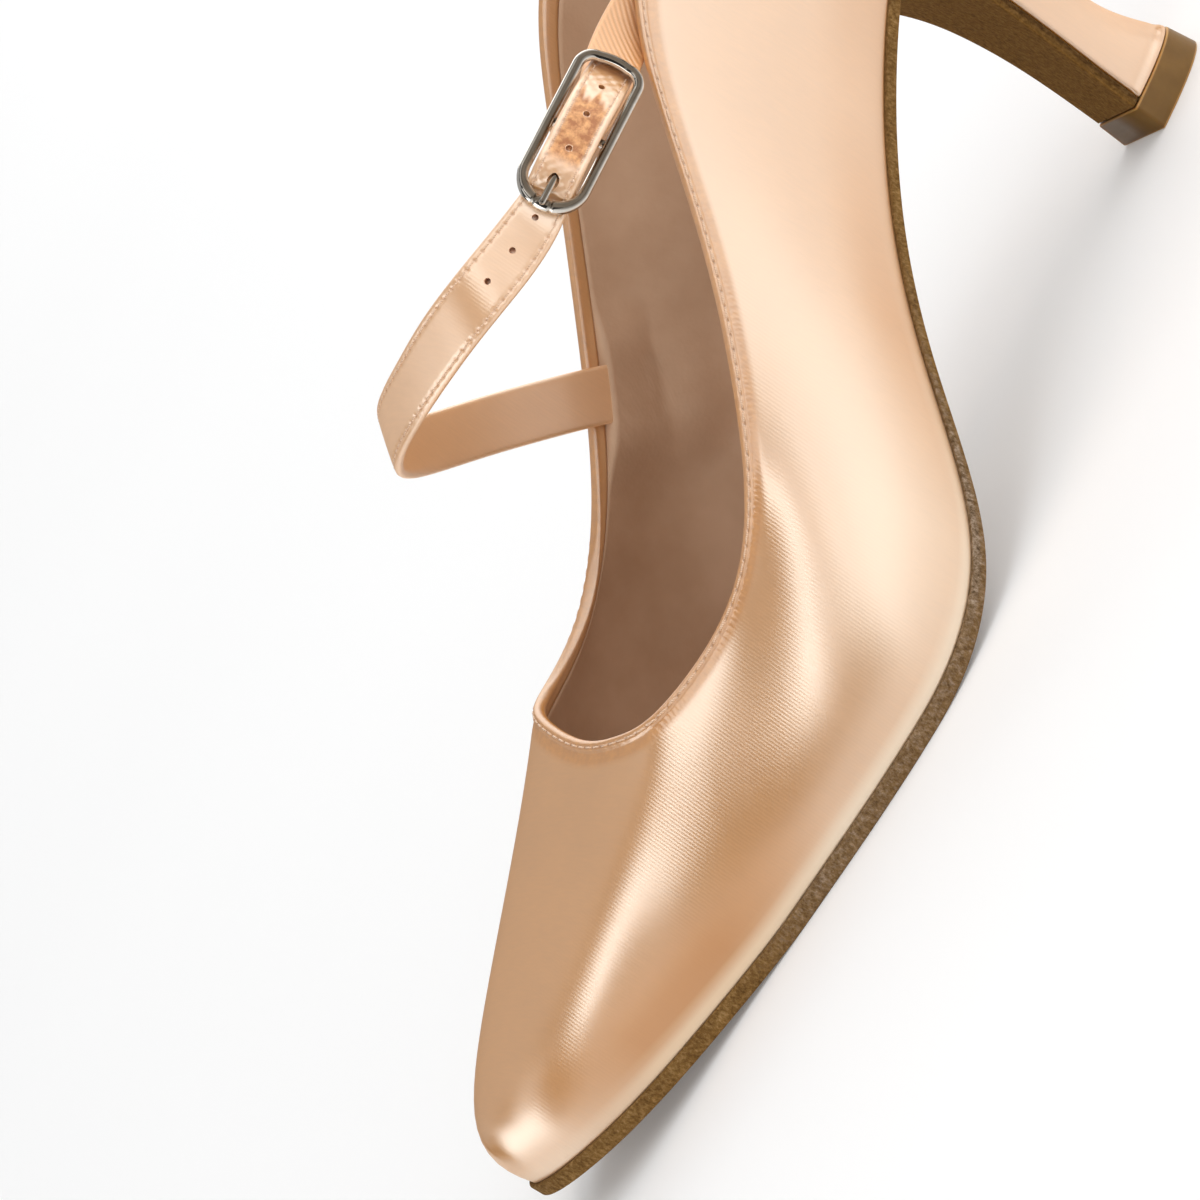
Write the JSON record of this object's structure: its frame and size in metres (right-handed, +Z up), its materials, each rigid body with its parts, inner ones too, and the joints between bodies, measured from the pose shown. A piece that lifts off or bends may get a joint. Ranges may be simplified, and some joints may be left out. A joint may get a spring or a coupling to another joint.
{
  "type": "dance shoe",
  "caption": "Left ballroom court shoe: hollow satin upper on a thin suede sole, flared covered heel with a plastic tip, and a diagonal instep strap with a buckle.",
  "frame": {"origin": "on the floor under the middle of the shoe's box", "axes": "+Z up, toe toward -X, heel toward +X, outer side of the foot toward -Y"},
  "size_m": [0.2281, 0.0776, 0.1065],
  "materials": {
    "satin": "peach satin with a soft sheen and a fine diagonal twill",
    "suede": "brown split suede, matte and fibrous",
    "lining": "smooth tan lining leather",
    "tread": "tan moulded plastic, slightly translucent",
    "nickel": "polished nickel"
  },
  "bodies": {
    "root": {"upper": "satin", "outsole": "suede", "insole": "lining", "heel": "satin", "heel_tip": "tread", "strap": "satin", "buckle_tab": "satin", "buckle_frame": "nickel", "buckle_prong": "nickel"}
  },
  "joints": []
}
